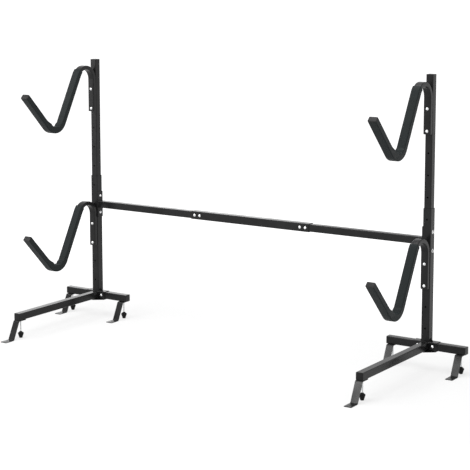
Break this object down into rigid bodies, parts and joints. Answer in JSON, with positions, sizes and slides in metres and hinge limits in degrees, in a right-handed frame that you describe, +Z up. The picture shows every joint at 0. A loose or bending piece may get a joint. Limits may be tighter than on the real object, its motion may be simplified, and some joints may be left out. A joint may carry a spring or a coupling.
{
  "type": "freestanding kayak rack",
  "caption": "Freestanding kayak rack: telescoping posts on T-shaped bases, tied by a crossbar, with foam-padded V arms, ground plates and levelling feet.",
  "frame": {"origin": "on the floor plane, midway between the posts and midway between front and back of the whole rack", "axes": "+X along the crossbar to the right seen from the front, -Y to the front where the arms reach, +Z up"},
  "size_m": [2.31, 0.76, 1.341],
  "materials": {
    "black_powder_coat": "fine-textured black powder coat on steel tube and plate, low sheen",
    "foam": "closed-cell foam sleeve, near black with a slight green-blue cast, soft satin",
    "cap_plastic": "black moulded plastic tube caps",
    "foot_plastic": "black moulded levelling pads with finger flutes",
    "zinc": "bright zinc-plated steel bolts, nuts and studs"
  },
  "bodies": {
    "rack_frame": {"lower_post_left": "black_powder_coat", "lower_post_right": "black_powder_coat", "upper_post_left": "black_powder_coat", "upper_post_right": "black_powder_coat", "post_cap_left": "cap_plastic", "post_cap_right": "cap_plastic", "base_hub_left": "black_powder_coat", "base_hub_right": "black_powder_coat", "front_leg_left": "black_powder_coat", "front_leg_right": "black_powder_coat", "outer_leg_left": "black_powder_coat", "outer_leg_right": "black_powder_coat", "inner_leg_left": "black_powder_coat", "inner_leg_right": "black_powder_coat", "leg_caps_left": "cap_plastic", "leg_caps_right": "cap_plastic", "front_foot_plate_left": "black_powder_coat", "front_foot_plate_right": "black_powder_coat", "outer_foot_plate_left": "black_powder_coat", "outer_foot_plate_right": "black_powder_coat", "inner_foot_plate_left": "black_powder_coat", "inner_foot_plate_right": "black_powder_coat", "weld_nuts_left": "zinc", "weld_nuts_right": "zinc", "upper_arm_left": "black_powder_coat", "upper_arm_right": "black_powder_coat", "lower_arm_left": "black_powder_coat", "lower_arm_right": "black_powder_coat", "upper_foam_left": "foam", "upper_foam_right": "foam", "lower_foam_left": "foam", "lower_foam_right": "foam", "upper_arm_caps_left": "cap_plastic", "upper_arm_caps_right": "cap_plastic", "lower_arm_caps_left": "cap_plastic", "lower_arm_caps_right": "cap_plastic", "crossbar_middle": "black_powder_coat", "crossbar_left": "black_powder_coat", "crossbar_right": "black_powder_coat", "end_plate_left": "black_powder_coat", "end_plate_right": "black_powder_coat", "arm_bolts": "zinc", "arm_nuts": "zinc", "plate_bolts": "zinc", "plate_nuts": "zinc", "splice_bolts": "zinc", "splice_nuts": "zinc", "base_bolts": "zinc"},
    "front_foot_left": {"front_foot_stud_left": "zinc", "front_foot_pad_left": "foot_plastic"},
    "front_foot_right": {"front_foot_stud_right": "zinc", "front_foot_pad_right": "foot_plastic"},
    "outer_foot_left": {"outer_foot_stud_left": "zinc", "outer_foot_pad_left": "foot_plastic"},
    "outer_foot_right": {"outer_foot_stud_right": "zinc", "outer_foot_pad_right": "foot_plastic"},
    "inner_foot_left": {"inner_foot_stud_left": "zinc", "inner_foot_pad_left": "foot_plastic"},
    "inner_foot_right": {"inner_foot_stud_right": "zinc", "inner_foot_pad_right": "foot_plastic"}
  },
  "joints": [
    {"name": "front_foot_left_slide", "type": "slide", "parent": "rack_frame", "child": "front_foot_left", "axis": [0, 0, 1], "range_m": [-0.008, 0.012]},
    {"name": "front_foot_right_slide", "type": "slide", "parent": "rack_frame", "child": "front_foot_right", "axis": [0, 0, 1], "range_m": [-0.008, 0.012]},
    {"name": "outer_foot_left_slide", "type": "slide", "parent": "rack_frame", "child": "outer_foot_left", "axis": [0, 0, 1], "range_m": [-0.008, 0.012]},
    {"name": "outer_foot_right_slide", "type": "slide", "parent": "rack_frame", "child": "outer_foot_right", "axis": [0, 0, 1], "range_m": [-0.008, 0.012]},
    {"name": "inner_foot_left_slide", "type": "slide", "parent": "rack_frame", "child": "inner_foot_left", "axis": [0, 0, 1], "range_m": [-0.008, 0.012]},
    {"name": "inner_foot_right_slide", "type": "slide", "parent": "rack_frame", "child": "inner_foot_right", "axis": [0, 0, 1], "range_m": [-0.008, 0.012]}
  ]
}
